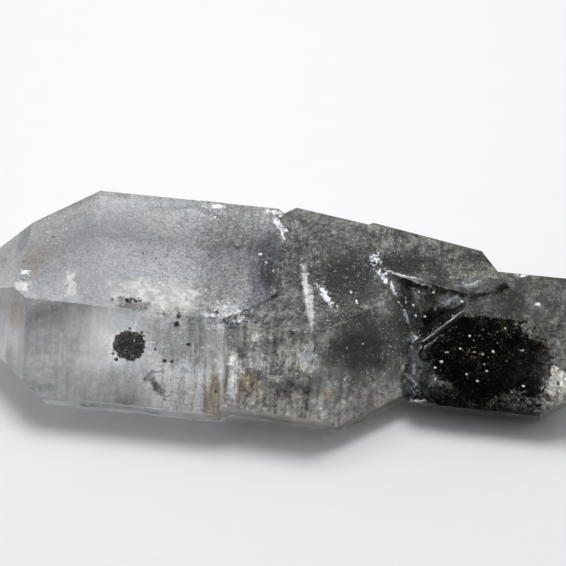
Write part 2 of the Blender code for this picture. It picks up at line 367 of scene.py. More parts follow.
def kept_inside(point, skin=UNDER_SKIN):
    """The point moved, if it must be, until it lies that far inside one of the crystals."""
    def outside(planes):
        return max((point - at).dot(normal) for at, normal in planes)

    planes = min((list(crystal_planes(**faces)) for faces in CRYSTALS.values()), key=outside)
    for _ in range(PUSHES):
        for at, normal in planes:
            point = point - normal * max(0.0, (point - at).dot(normal) + skin)
    return Vector((point.x, point.y, max(point.z, skin)))


# %% [markdown]
# ## Growth ledges and pits
# The prism faces at the back and below carry low plates where a new layer stopped growing, and there are
# small pointed pits. The plates are low blocks rooted in the crystal and the pits are cones cut from it.
# Each is placed by its share of the face, from -1 to 1 along and across it, so that it can't stick out past
# the face's edge. Then come a plate's length, share of the width, height, corners and turn in degrees,
# and a pit's doubled width, depth, corners and turn.

# %% Ledges and pits
LEDGES = (
    ("long", "back_upper", -0.30, 0.06, 6.0, 0.52, 0.18, 6, 8),
    ("long", "back_upper", 0.26, -0.02, 2.2, 0.84, 0.14, 4, 0),
    ("long", "back_lower", -0.06, 0.06, 7.0, 0.50, 0.20, 5, 6),
    ("long", "back_lower", -0.78, 0.00, 1.6, 0.70, 0.15, 4, 0),
    ("long", "front_lower", -0.10, -0.04, 6.0, 0.42, 0.16, 6, 3),
    ("middle", "back_upper", 0.30, 0.00, 3.0, 0.44, 0.16, 6, 14),
    ("right", "back_upper", 0.10, 0.00, 4.2, 0.46, 0.14, 6, 10),
    ("right", "back_lower", -0.05, 0.04, 3.4, 0.48, 0.14, 5, 5),
)
PITS = (
    ("long", "top", -0.74, 0.26, 1.3, 0.30, 3, 30),
    ("long", "top", 0.52, 0.62, 1.6, 0.34, 4, 20),
    ("long", "front_upper", -0.72, 0.36, 1.1, 0.25, 3, 0),
    ("long", "back_upper", 0.02, -0.42, 1.5, 0.32, 3, 50),
    ("long", "back_lower", 0.46, 0.24, 1.6, 0.32, 4, 15),
    ("middle", "front_upper", 0.30, -0.46, 1.2, 0.25, 3, 10),
    ("middle", "back_upper", 0.62, 0.30, 1.1, 0.26, 3, 70),
    ("right", "back_upper", 0.56, 0.22, 0.9, 0.22, 3, 40),
)
LEDGE_ROOT = 0.6


def face_frame(crystal, side, along, across):
    """A frame on a prism face, X along the crystal and Z out, and the face's width."""
    planes = list(crystal_planes(**CRYSTALS[crystal]))
    point, normal = planes[3 * list(FACE_ANGLES).index(side)]
    axis = Matrix.Rotation(math.radians(CRYSTALS[crystal].get("yaw", 0)), 3, "Z") @ Vector((1, 0, 0))
    axis = (axis - normal * axis.dot(normal)).normalized()
    up = normal.cross(axis)
    mesh = solids[crystal].data
    face = max(mesh.polygons, key=lambda polygon: polygon.normal.dot(normal))
    corners = [mesh.vertices[i].co - point for i in face.vertices]
    xs, ys = [c.dot(axis) for c in corners], [c.dot(up) for c in corners]
    x = (max(xs) + min(xs) + along * (max(xs) - min(xs))) / 2
    y = (max(ys) + min(ys) + across * (max(ys) - min(ys))) / 2
    frame_here = Matrix((axis, up, normal)).transposed().to_4x4()
    frame_here.translation = point + axis * x + up * y
    return frame_here, max(ys) - min(ys)


def plate(crystal, side, along, across, length, share, height, corners, turn):
    """One low plate with its root in the crystal."""
    here, width = face_frame(crystal, side, along, across)
    bpy.ops.mesh.primitive_cylinder_add(vertices=corners, radius=0.5 / math.cos(math.pi / corners), depth=1)
    made = fresh("plate")
    square = Matrix.Rotation(math.pi / corners, 4, "Z")
    size = Matrix.Diagonal((length, share * width, height + LEDGE_ROOT, 1))
    lift = Matrix.Translation((0, 0, (height - LEDGE_ROOT) / 2))
    made.matrix_world = here @ Matrix.Rotation(math.radians(turn), 4, "Z") @ lift
    made.data.transform(size @ square)
    return made


def pit(crystal, side, along, across, width, depth, corners, turn):
    """The pointed cutter of one pit."""
    here, _ = face_frame(crystal, side, along, across)
    bpy.ops.mesh.primitive_cone_add(vertices=corners, radius1=0, radius2=width, depth=4 * depth)
    made = fresh("pit")
    made.data.transform(Matrix.Diagonal((0.7, 1, 1, 1)) @ Matrix.Translation((0, 0, depth)))
    made.matrix_world = here @ Matrix.Rotation(math.radians(turn), 4, "Z")
    return made


plates = [plate(*ledge) for ledge in LEDGES]
pits = [pit(*hollow) for hollow in PITS]
print(len(plates), "plates and", len(pits), "pits")

# %% [markdown]
# ## One clear piece
# Crystals that grew through each other are one body, so the five become one solid, and the base is
# cut level where the cluster rests. A narrow bevel takes the knife edge off every edge, as wear does,
# and gives the light a line to catch.

# %% Grow the crystals together
EDGE_WEAR, SHARPEST_LEFT = 0.05, math.radians(14)

quartz = solids.pop("long")
combine(quartz, [*solids.values(), *plates], "UNION")
bpy.ops.mesh.primitive_cube_add(size=1, location=(0, 0, -5), scale=(BLOCK, BLOCK, 10))
combine(quartz, [*pits, fresh("table")], "DIFFERENCE")
clean(quartz)
apply(quartz, "TRIANGULATE", quad_method="BEAUTY", ngon_method="BEAUTY")
apply(quartz, "BEVEL", width=EDGE_WEAR, segments=2, limit_method="ANGLE", angle_limit=SHARPEST_LEFT)
apply(quartz, "TRIANGULATE", quad_method="BEAUTY", ngon_method="BEAUTY")
quartz.name = "quartz_cluster"
form = bpy.data.objects.new("form", quartz.data.copy())
bpy.context.scene.collection.objects.link(form)
print("quartz box in mm:", [round(v, 2) for v in (*quartz.dimensions,)])

# %% [markdown]
# ## The quartz finish
# Clear quartz is a see-through solid with an index of 1.544. This one is smoky and hazy: the volume
# takes a little light on the way, a share of the light is scattered at the faces, and the colour of that
# share changes from pearly grey on the left to nearly black on the right. Noise at five scales, from
# clouds 5 mm wide to specks of 0.24 mm, gives every later mask its ragged edge.

# %% Grain of the quartz
q = Bench("smoky_quartz")
x, y, z = (q.add("ShaderNodeSeparateXYZ", None, {"Vector": q.place}, out=i) for i in range(3))
wide = q.clouds(5.0, 3.0, 0.55)
lumpy = q.clouds(1.5, 5.0, 0.62)
fine = q.clouds(0.6, 4.0, 0.7)
grain = q.clouds(0.24, 2.0, 0.6)
streaks = q.clouds(0.30, 3.0, 0.6, place=q.stretched((1.0, 12.0, 12.0)))
ragged = (wide - 0.5) * 0.9 + (lumpy - 0.5) * 0.7

# %% [markdown]
# ## Tones of the quartz
# Two crystals meet along a bent suture, so one mask follows it. The tones are soft patches laid where the
# photograph shows them: buried dust as near black, iron stains as brown, milky places as white. The pale
# patches on the lower front faces and on the front of the left end are painted light: they stand in for the
# bright light that comes through the crystal there. Patches were chosen instead of one gradient, because each
# of them belongs to a place on the real crystal. A row gives the patch's middle, half sizes, softness,
# raggedness, strength and tone.

# %% Where the crystals meet
suture = q.slope(y, -6.0, -3.0, -3.95, -1.0) + q.slope(y, -3.0, 3.0, 0.0, 0.4)
suture = suture - q.slope(y, 3.6, 6.6, 0.0, 1.3)
grown_through = q.slope(x - suture + (lumpy - 0.5) * q.slope(y, 6.4, 8.0, 0.0, 9.0), -0.12, 0.12)
right_part = q.slope(x + (lumpy - 0.5) * 1.2, 10.2, 11.4)

# %% Patches of tone
PEARL_TONES = (
    ((-9.9, -4.2, 10.8), (4.2, 1.9, 0.8), 0.3, 0.6, 1.0, (1.0, 0.99, 0.96)),
    ((-6.2, -3.6, 10.8), (1.4, 1.4, 0.8), 0.4, 0.6, 0.8, (0.46, 0.45, 0.43)),
    ((-15.6, -3.4, 10.8), (3.4, 1.9, 0.6), 0.5, 0.6, 0.75, (0.60, 0.61, 0.63)),
    ((-18.6, -0.4, 10.8), (5.2, 5.6, 0.7), 0.5, 0.4, 0.8, (0.63, 0.64, 0.66)),
    ((-21.5, 3.5, 6.5), (4.0, 4.5, 3.6), 0.2, 0.2, 1.0, (1.0, 1.0, 1.0)),
    ((-8.0, -3.5, 0.0), (6.0, 5.0, 1.0), 0.3, 0.3, 1.0, (1.0, 1.0, 1.0)),
    ((-8.0, 8.6, 5.5), (7.0, 2.6, 4.6), 0.2, 0.2, 1.0, (1.0, 1.0, 1.0)),
    # painted light: the lower front made pale, as the light that comes through the crystal makes it
    ((-7.6, -9.4, 4.6), (4.6, 1.9, 2.1), 0.35, 0.6, 1.0, (1.0, 0.98, 0.95)),
    ((-6.8, -7.0, 8.4), (3.8, 2.0, 2.1), 0.45, 0.6, 0.97, (0.13, 0.135, 0.13)),
    # painted light: the front of the left end made brighter, as the light makes it
    ((-22.4, -6.4, 7.0), (1.5, 2.6, 4.0), 0.3, 0.3, 1.0, (1.0, 1.0, 1.0)),
    ((-4.4, 1.5, 10.8), (3.0, 6.0, 1.0), 0.5, 0.7, 0.8, (0.30, 0.31, 0.32)),
    ((-1.6, -0.2, 10.8), (1.4, 5.4, 1.0), 0.5, 0.6, 0.95, (0.10, 0.12, 0.16)),
    ((-19.6, -9.6, 4.2), (1.8, 0.5, 0.6), 0.5, 0.8, 0.7, (0.20, 0.20, 0.18)),
)
STAINS = (
    ((-21.8, -8.2, 5.2), (0.6, 1.6, 1.1), 0.5, 0.8, 0.7, (0.20, 0.20, 0.18)),
    ((-4.7, -9.2, 4.4), (0.8, 2.2, 2.8), 0.35, 0.8, 0.9, (0.36, 0.27, 0.16)),
    ((-1.9, -8.6, 5.0), (1.3, 1.8, 1.8), 0.4, 0.9, 0.8, (0.28, 0.18, 0.10)),
    ((-20.6, -1.8, 10.8), (0.9, 2.0, 1.0), 0.6, 0.9, 0.8, (0.62, 0.56, 0.40)),
    ((-21.4, -6.2, 8.9), (0.9, 1.0, 1.4), 0.4, 0.7, 0.85, (0.46, 0.37, 0.24)),
    ((4.5, -8.0, 5.1), (0.6, 0.35, 0.35), 0.4, 0.4, 0.9, (0.45, 0.24, 0.06)),
    ((-3.75, -8.0, 6.0), (0.14, 3.6, 4.2), 0.4, 0.3, 0.85, (0.16, 0.15, 0.12)),
    ((-3.2, -8.4, 5.4), (0.40, 2.6, 3.2), 0.4, 0.5, 1.0, (1.0, 1.0, 1.0)),
)
MIDDLE_TONES = (
    ((4.9, 0.2, 10.4), (2.8, 3.2, 1.6), 0.4, 0.7, 0.99, (0.001, 0.0012, 0.001)),
    ((6.6, -4.6, 7.2), (4.6, 2.8, 3.4), 0.35, 0.6, 0.98, (0.006, 0.007, 0.006)),
    ((11.0, 2.4, 10.3), (4.4, 1.5, 1.2), 0.35, 0.6, 0.99, (0.001, 0.001, 0.001)),
    ((10.4, -2.4, 7.4), (2.6, 3.4, 3.4), 0.4, 0.6, 0.95, (0.006, 0.007, 0.007)),
    # painted light: the lower front of the grown-through part made cream, as the light through the crystal makes
    # it
    ((2.2, -9.5, 3.4), (6.0, 2.6, 1.9), 0.4, 0.7, 0.95, (1.0, 0.95, 0.85)),
    ((2.0, -6.0, 0.0), (7.0, 4.0, 0.8), 0.4, 0.7, 1.0, (0.95, 0.92, 0.88)),
    ((8.0, -7.0, 2.4), (3.0, 2.0, 1.6), 0.4, 0.7, 0.7, (0.44, 0.42, 0.38)),
    ((2.6, 4.8, 10.4), (3.4, 2.6, 1.0), 0.5, 0.7, 0.5, (0.22, 0.22, 0.21)),
    ((15.0, 2.8, 10.3), (1.8, 1.2, 0.8), 0.4, 0.7, 0.8, (0.30, 0.28, 0.26)),
    ((9.2, 0.6, 10.2), (2.2, 1.1, 0.9), 0.4, 0.5, 0.6, (0.10, 0.11, 0.12)),
)
RIGHT_TONES = (
    ((16.6, -4.0, 5.0), (6.4, 4.4, 5.6), 0.2, 0.5, 0.97, (0.014, 0.016, 0.013)),
    ((21.0, -4.0, 6.2), (1.6, 2.6, 3.4), 0.5, 0.9, 0.8, (0.10, 0.10, 0.085)),
    ((20.4, -5.2, 3.6), (3.0, 1.5, 2.0), 0.4, 0.6, 0.9, (0.03, 0.03, 0.026)),
    ((12.6, -1.0, 8.6), (2.4, 1.6, 1.6), 0.35, 0.5, 0.85, (0.02, 0.025, 0.025)),
    ((18.4, 0.5, 9.8), (2.0, 1.5, 1.0), 0.5, 0.6, 0.95, (0.004, 0.004, 0.003)),
    ((19.0, 0.3, 9.8), (0.35, 0.4, 0.5), 0.5, 0.3, 0.8, (0.34, 0.34, 0.07)),
    ((23.5, -4.2, 6.4), (2.0, 3.2, 4.2), 0.4, 0.6, 0.9, (0.80, 0.80, 0.77)),
    ((22.4, 0.6, 9.8), (2.6, 2.0, 0.8), 0.4, 0.6, 0.75, (0.36, 0.36, 0.37)),
    ((21.6, -2.9, 7.9), (0.5, 0.5, 0.7), 0.4, 0.4, 0.8, (0.20, 0.15, 0.06)),
    ((18.1, -2.3, 9.1), (0.45, 0.45, 0.45), 0.4, 0.4, 0.7, (0.28, 0.22, 0.12)),
    ((11.5, -4.6, 4.4), (1.1, 1.9, 2.4), 0.35, 0.4, 0.7, (0.07, 0.085, 0.10)),
    ((17.2, -5.6, 3.3), (5.2, 1.6, 1.9), 0.3, 0.6, 0.95, (0.006, 0.006, 0.005)),
)


def toned(colour, tones, room=1.0):
    """The colour with soft patches laid over it, within the mask called room."""
    for at, half, soft, torn, strength, tone in tones:
        colour = q.blend(q.patch(at, half, soft, ragged * torn) * strength * room, colour, tone)
    return colour


print(len(PEARL_TONES + STAINS + MIDDLE_TONES + RIGHT_TONES), "patches of tone")

# %% [markdown]
# ## Laying the tones
# Pearl comes first, then the smoke of the grown-through part, then the patches. The front faces of the long
# crystal get a darker pearl: painted shade of the side that faces the dark room. The faces that are
# hidden behind and below are seen only through the quartz, so they get one pale tone.

# %% Lay the tones
cloudy = q.slope(wide + q.slope(x, -14.0, -20.0) * 0.1, 0.4, 0.6)
pearl = q.blend(cloudy, (0.77, 0.78, 0.82), (0.93, 0.93, 0.95))
# painted shade: the front faces of the long crystal get a darker pearl than the rest of it
shaded_front_pearl = q.blend(q.slope(lumpy, 0.4, 0.6), (0.40, 0.41, 0.40), (0.54, 0.55, 0.56))
seen_in_front = q.slope(y, -6.0, -5.7, 1.0, 0.0) * q.slope(z, 0.6, 2.0) * q.slope(x, -21.6, -20.8)
pearl = q.blend(seen_in_front, pearl, shaded_front_pearl)
behind = q.slope(y, 4.6, 5.0).either(q.slope(x, -17.5, -18.5) * q.slope(y, -1.5, 0.5))
hidden_faces = q.slope(z, 0.2, 0.05).either(q.slope(z, 10.1, 9.9) * behind)
smoke = q.blend(q.slope(lumpy, 0.40, 0.60), (0.12, 0.125, 0.12), (0.30, 0.30, 0.28))
smoke = q.blend(hidden_faces, smoke, (0.60, 0.60, 0.56))
colour = toned(q.blend(grown_through, toned(pearl, PEARL_TONES), smoke), STAINS)
colour = toned(colour, MIDDLE_TONES, grown_through)
colour = toned(q.blend(right_part, colour, q.times(smoke, (0.95, 0.95, 0.90))), RIGHT_TONES)

# %% [markdown]
# ## Mottling, striations and flecks
# Quartz grows in steps, which show as fine lines across the prism faces. Dust and tiny bubbles add grain,
# stronger in the dark part. All of it is done in colour, because the relief is too low to be seen as shape.

# %% Mottling, striations and flecks
lined = q.slope(y, -4.5, -6.2) * q.slope(x, -15.0, -8.0, 0.16, 0.24) + q.slope(x, -9.0, -5.0) * 0.24
on_top = q.slope(z, 10.1, 10.3)
busy = q.slope(x, -15.0, -6.0, 0.7, 1.4) + grown_through * 0.5
mottle = 1.0 + busy * (q.slope(fine, 0.42, 0.58, -0.16, 0.10) + q.slope(grain, 0.40, 0.60, -0.20, 0.14))
top_mottle = 1.0 + busy * (q.slope(fine, 0.42, 0.58, -0.06, 0.05) + q.slope(grain, 0.40, 0.60, -0.18, 0.14))
strong_mottle = q.slope(lumpy, 0.40, 0.60, 0.62, 1.12) * q.slope(fine, 0.42, 0.58, 0.62, 1.25)
lines = 1.0 + lined * q.slope(streaks, 0.42, 0.58, -1.0, 0.7)
shade = mottle * (1.0 + on_top * (top_mottle - 1.0)) * lines * (1.0 + grown_through * (strong_mottle - 1.0))
colour = q.vector("SCALE", colour, Scale=shade)
moss = q.slope(q.clouds(0.5, 5.0, 0.75), 0.50, 0.62) * grown_through
colour = q.times(colour, q.blend(moss, (1.0, 1.0, 1.0), (1.75, 1.70, 1.50)))
colour = q.blend(moss * 0.08, colour, (0.22, 0.21, 0.17))
rim = q.slope(y, 5.7, 6.6).either(q.slope(y - x * 0.69, 17.1, 18.0)) * on_top
colour = q.blend(rim * 0.45, colour, (0.12, 0.12, 0.11))
flecks = q.slope(q.clouds(0.20, 1.0, 0.5), 0.64, 0.69) * q.slope(lumpy + grown_through * 0.10, 0.48, 0.62)
pepper = q.slope(q.clouds(0.26, 2.0, 0.6), 0.63, 0.68) * q.slope(wide + grown_through * 0.12, 0.48, 0.60)
colour = q.blend(pepper * 0.8, colour, (0.04, 0.04, 0.035))
colour = q.blend(flecks * (0.8 - right_part * 0.4), colour, (0.95, 0.96, 1.0))

# %% [markdown]
# ## Relief and shine
# The faces are glossy, with a faint stepped relief that breaks up the mirror images. The window over the
# round spot stays smooth, so that the spot is seen sharply.

# %% Relief of the quartz
steps = q.clouds(1.0, 2.0, 0.5, place=q.stretched((1.0, 9.0, 9.0)))
relief = streaks * 0.5 + steps * 0.3 + fine * (0.3 + grown_through * 0.4) + grain * 0.4 + lumpy * 0.6
over_spot = q.patch((-11.8, -7.5, 8.0), (2.2, 2.6, 2.6), 0.3)
frosted = hidden_faces * (0.25 + q.slope(x, -16.0, -18.0) * 0.25)
quartz_look = q.finish(
    Base_Color=colour,
    Roughness=frosted + q.slope(grain, 0.40, 0.60, 0.02, 0.10) * (1.0 - over_spot),
    IOR=1.544,
    Transmission_Weight=0.85,
    Normal=q.bump(relief * (1.0 - over_spot * 0.8), 0.04),
)
absorb = q.add("ShaderNodeVolumeAbsorption", None, {"Color": (0.80, 0.80, 0.79, 1.0), "Density": 15.0})
q.tree.links.new(absorb.socket, q.output.inputs["Volume"])
finish_piece(quartz, quartz_look, "quartz", "quartz_upper", "quartz_lower")
print("quartz finish has", len(q.tree.nodes), "nodes")

# %% [markdown]
# ## Stibnite grains
# The dark masses are stibnite: thousands of tiny metallic blades and grains grown together. Two grains
# are modelled, a cleaved lump and a blade, and copied with a turn and a size of their own.

# %% Two grains
bpy.ops.mesh.primitive_cube_add(size=1.0)
lump = fresh("lump")
draw = random.Random(4)
cuts = []
for _ in range(5):
    way = Vector((draw.uniform(-1, 1), draw.uniform(-1, 1), draw.uniform(-1, 1))).normalized()
    cuts.append((way * draw.uniform(0.28, 0.42), way))
cleave(lump, cuts)

bpy.ops.mesh.primitive_cylinder_add(vertices=6, radius=0.5, depth=1.0)
blade = fresh("blade")
only(blade)
bpy.ops.object.mode_set(mode="EDIT")
bpy.ops.mesh.select_all(action="SELECT")
bpy.ops.transform.resize(value=(0.30, 0.16, 1.6))
bpy.ops.object.mode_set(mode="OBJECT")
for face in blade.data.polygons:
    face.select = face.normal.z > 0.9
only(blade)
bpy.ops.object.mode_set(mode="EDIT")
bpy.ops.transform.resize(value=(0.3, 0.3, 1.0))
bpy.ops.object.mode_set(mode="OBJECT")
GRAINS = {"lump": lump, "blade": blade}
print({name: len(grain.data.polygons) for name, grain in GRAINS.items()})


# %% Copy grains
def grown(name, places, core=None):
    """One piece made of a copy of a grain at each place: kind, point, size in millimetres and turn."""
    copies = [core] if core else []
    for kind, point, size, turn in places:
        copy = bpy.data.objects.new("grain", GRAINS[kind].data.copy())
        bpy.context.scene.collection.objects.link(copy)
        copy.data.transform(Matrix.Translation(point) @ turn.to_matrix().to_4x4() @ Matrix.Scale(size, 4))
        copies.append(copy)
    only(*copies)
    bpy.ops.object.join()
    return fresh(name)


def any_turn(draw):
    """A turn with no favoured way."""
    return Vector((draw.gauss(0, 1), draw.gauss(0, 1), draw.gauss(0, 1))).to_track_quat("Z", "Y")


def in_ball(draw, inner=0.0):
    """A point of the unit ball outside an inner one."""
    way = Vector((draw.gauss(0, 1), draw.gauss(0, 1), draw.gauss(0, 1))).normalized()
    return way * (inner ** 3 + draw.random() * (1 - inner ** 3)) ** (1 / 3)


# %% [markdown]
# ## The stibnite masses
# The big mass fills the right crystal and a round one sits in the long crystal. Each keeps the place
# and reach of its solid: a knobbly core, roughened grain by grain, with blades that stand out of it.

# %% Masses
MASS = (
    ((16.6, -1.65, 5.1), (4.5, 1.7, 3.5), -30),
    ((19.8, -1.55, 4.6), (2.6, 1.3, 2.3), -30),
    ((13.6, 0.35, 5.6), (2.5, 1.7, 1.8), -12),
)
SPOT = (((-12.5, -2.45, 3.4), (1.25, 1.2, 1.2), 0),)


def lump_frame(at, radii, tilt):
    """Takes the unit ball to one lobe: its middle, its half lengths and its tilt about X in degrees."""
    return Matrix.Translation(at) @ Matrix.Rotation(math.radians(tilt), 4, "X") @ Matrix.Diagonal((*radii, 1))


def mass(name, lobes, grains, blades, size, seed):
    """A knobbly core under a crust of grains and blades."""
    draw = random.Random(seed)
    cores = []
    for lobe in lobes:
        bpy.ops.mesh.primitive_ico_sphere_add(subdivisions=4, radius=0.86)
        core = fresh("core")
        for point in core.data.vertices:
            knobs = noise.noise(point.co * 2.6 + Vector(lobe[0]))
            point.co *= 1 - 0.16 * knobs - 0.08 * noise.noise(point.co * 9)
        core.data.transform(lump_frame(*lobe))
        cores.append(core)
    if cores[1:]:
        combine(cores[0], cores[1:], "UNION")
    places = []
    whole_length = sum(lobe[1][0] for lobe in lobes)
    for at, radii, tilt in lobes:
        here = lump_frame(at, radii, tilt)
        for _ in range(round((grains + blades) * radii[0] / whole_length)):
            kind = "blade" if draw.random() < blades / (grains + blades) else "lump"
            point = here @ in_ball(draw, 0.78)
            out = (point - Vector(at)).normalized() + 0.6 * in_ball(draw)
            turn = out.to_track_quat("Z", "Y") if kind == "blade" else any_turn(draw)
            places.append((kind, point, size * draw.uniform(0.5, 1.3), turn))
    return grown(name, places, cores[0])


stibnite_mass = mass("stibnite_grains_right", MASS, 1500, 600, 0.34, 3)
stibnite_spot = mass("stibnite_grains_spot", SPOT, 420, 160, 0.28, 5)

# %% [markdown]
# ## Stibnite finish
# Fresh stibnite is a bright lead grey metal that tarnishes black. Here and there a grain is pale: partly the
# bright metal of a fresh cleavage, partly a painted glint of reflected light. The round spot has weathered
# brown. One finish does both, by a share of brown.

# %% Stibnite finish
def stibnite_finish(name, brown):
    """Blackish metal whose weathered grains are brown, with pale grains that are partly fresh metal and partly
    painted glints.
    """
    s = Bench(name)
    freckle = s.clouds(0.30, 3.0, 0.7)
    colour = s.blend(s.slope(freckle, 0.50, 0.60) * brown, (0.012, 0.011, 0.010), (0.26, 0.18, 0.12))
    shiny_place = s.slope(s.clouds(1.6), 0.62 - 0.2 * brown, 0.68 - 0.2 * brown)
    # painted glints: pale grains here and there, partly bright fresh metal, partly painted reflected light
    painted_spark = s.slope(s.clouds(0.22, 2.0, 0.6), 0.57, 0.62) * shiny_place
    return s.finish(
        Base_Color=s.blend(painted_spark * (0.3 + 0.7 * brown), colour, (0.90, 0.84, 0.76)),
        Metallic=s.slope(freckle, 0.45, 0.55, 0.7, 0.1),
        Roughness=s.slope(s.clouds(0.1), 0.42, 0.58, 0.2, 0.6),
        Normal=s.bump(s.clouds(0.05, 2.0), 0.02),
    )


stibnite_look = stibnite_finish("dark_stibnite", 0.3)
finish_piece(stibnite_mass, stibnite_look, "stibnite", "stibnite_mass")
finish_piece(stibnite_spot, stibnite_finish("brown_stibnite", 1.0), "stibnite", "stibnite_spot")

# %% [markdown]
# ## Stibnite dust
# Round the masses the quartz is dark with stibnite dust too fine to see grain by grain. It is made of
# the same grains, a tenth of a millimetre across, thick in the middle of each cloud and thin at its rim.

# %% Dust clouds and specks
CLOUDS = (
    ((4.7, 1.4, 7.75), (2.2, 2.0, 1.8), 700),
    ((5.6, -2.6, 5.6), (3.4, 1.8, 2.2), 1200),
    ((10.7, 3.6, 7.7), (3.8, 1.0, 1.2), 900),
    ((18.9, 1.5, 7.3), (1.1, 0.8, 0.8), 250),
    ((17.0, -1.8, 4.9), (5.6, 2.2, 3.6), 900),
    ((17.0, -3.2, 6.0), (6.4, 2.6, 4.2), 700),
    ((20.6, -2.6, 6.4), (2.4, 1.6, 2.6), 260),
    ((14.2, -2.4, 7.8), (2.4, 1.4, 1.3), 380),
    ((17.6, -1.8, 8.8), (3.4, 1.6, 0.9), 420),
    ((20.9, -3.4, 3.6), (2.0, 1.6, 1.6), 300),
    ((16.0, -4.0, 2.6), (4.2, 1.4, 1.1), 520),
    ((-12.5, -2.45, 3.4), (1.9, 1.6, 1.8), 120),
)
GHOST = ((-12.0, -4.95, 10.62), (1.7, 0.36, 0.10), 80)
SPECKS = (
    (-10.1, -4.5, 10.4, 0.22), (-9.3, -4.7, 10.4, 0.28), (-9.0, -4.9, 10.4, 0.2), (-8.2, -5.3, 10.4, 0.40),
    (-8.0, -5.5, 10.2, 0.34), (-8.1, -6.0, 9.6, 0.42), (-9.2, -5.5, 10.3, 0.26), (-12.0, 0.4, 10.4, 0.22),
    (-13.0, -2.0, 10.4, 0.12), (-7.6, -3.9, 10.4, 0.16), (-9.7, -7.2, 7.7, 0.20), (-8.9, -7.8, 7.0, 0.26),
    (-8.3, -7.7, 7.0, 0.26), (-19.7, 1.2, 10.4, 0.22), (-10.8, 0.0, 10.4, 0.16), (-7.0, -6.9, 8.4, 0.34),
    (-10.4, -8.5, 5.3, 0.22), (-8.7, -9.3, 4.0, 0.20), (21.6, -2.6, 7.7, 0.50), (22.3, -5.1, 4.1, 0.36),
    (-6.6, 1.0, 10.4, 0.2), (-4.9, 2.6, 10.4, 0.3), (-4.4, 2.1, 10.4, 0.34), (-5.6, 4.4, 10.4, 0.2),
    (-12.9, -7.6, 6.4, 0.3), (-4.6, -8.6, 4.9, 0.24),
)
draw = random.Random(8)
places = []
for at, half, count in CLOUDS:
    for _ in range(count):
        far = min(abs(draw.gauss(0, 0.48)), 1.0)
        way = Vector((draw.gauss(0, 1), draw.gauss(0, 1), draw.gauss(0, 1))).normalized() * far
        point = Vector(at) + Vector(a * b for a, b in zip(way, half))
        places.append(("lump", kept_inside(point), draw.uniform(0.08, 0.26), any_turn(draw)))
for _ in range(GHOST[2]):
    point = Vector(GHOST[0]) + Vector(a * b for a, b in zip(in_ball(draw), GHOST[1]))
    places.append(("lump", point, draw.uniform(0.08, 0.34), any_turn(draw)))
for x, y, z, size in SPECKS:
    places.append(("lump", Vector((x, y, z)), size, any_turn(draw)))
dust = grown("stibnite_dust", places)
finish_piece(dust, stibnite_look, "stibnite")

# %% [markdown]
# ## Sheets in the crystal
# Old cracks that healed badly, bruises where crystals knocked together and films of dust on buried
# growth faces are all sheets. Each starts as a grid laid in its place and roughened. A bruise
# is wrapped on the crystal's skin, the rest is kept inside it, and all get a wall, so they are closed.
# The grid's own map tells the finish how near the rim it is, where the sheet fades out in tatters.

# %% Lay a sheet
SHEET_STEP, SHEET_WALL, OFF_SKIN = 0.14, 0.008, 0.012


def sheet(at, size, turn, rough=0.12, wrap=False, seed=1):
    """A crumpled sheet of that size in millimetres, turned in degrees."""
    steps = [max(6, min(40, round(side / SHEET_STEP))) for side in size]
    bpy.ops.mesh.primitive_grid_add(x_subdivisions=steps[0], y_subdivisions=steps[1], size=1, location=at)
    made = fresh("sheet")
    made.scale = (*size, 1)
    made.rotation_mode = "ZYX"
    made.rotation_euler = [math.radians(v) for v in turn]
    settle(made)
    for point in made.data.vertices:
        swell = Vector(noise.noise_vector(point.co * 0.9 + Vector((seed, 0, 0))))
        point.co += swell * rough * 2.5
    only(made)
    bpy.ops.object.mode_set(mode="EDIT")
    bpy.ops.mesh.select_all(action="SELECT")
    bpy.ops.transform.vertex_random(offset=rough * 0.5, normal=0.7, seed=seed)
    bpy.ops.object.mode_set(mode="OBJECT")
    if wrap:
        apply(
            made, "SHRINKWRAP", target=form, wrap_method="NEAREST_SURFACEPOINT", wrap_mode="ABOVE_SURFACE",
            offset=OFF_SKIN,
        )
    else:
        for point in made.data.vertices:
            point.co = kept_inside(point.co)
    apply(made, "SOLIDIFY", thickness=SHEET_WALL)
    return made


def sheets(name, places, **settings):
    """Several sheets in one piece."""
    made = [sheet(*place, seed=1 + i, **settings) for i, place in enumerate(places)]
    only(*made)
    bpy.ops.object.join()
    return fresh(name)


def tattered(bench, size, core, reach):
    """How solid a sheet is: blotches and thin veins, fewer towards its rim."""
    middle = bench.vector("SUBTRACT", bench.add("ShaderNodeTexCoord", out="UV"), (0.5, 0.5, 0.0))
    rim = bench.vector("LENGTH", bench.vector("MULTIPLY", middle, middle), out="Value") ** 0.5 * 2.0
    vein = bench.maths("ABSOLUTE", bench.clouds(size * 1.8, 3.0, 0.6, twist=1.2) - 0.5)
    blotch = bench.clouds(size, 5.0, 0.78, twist=1.0)
    return blotch + bench.slope(vein, 0.0, 0.035, 0.10, 0.0) + core - bench.slope(rim, 0.1, 1.0) * reach


def torn_finish(name, tones, size, core, reach, edge, most):
    """A sheet's look: two tones in clouds, solid where tattered says so, up to the share called most."""
    made = Bench(name)
    return made.finish(
        Base_Color=made.blend(made.slope(made.clouds(0.5), 0.4, 0.6), *tones),
        Roughness=0.5,
        Alpha=made.slope(tattered(made, size, core, reach), *edge, 0.0, most),
    )


print("sheet steps of", SHEET_STEP, "mm")

# %% [markdown]
# ## Cracks and bruises
# A healed crack is a thin white veil inside the quartz, and a bruise is crushed quartz on its skin. Both
# are white because countless small surfaces scatter the light, so both share one feathery finish.

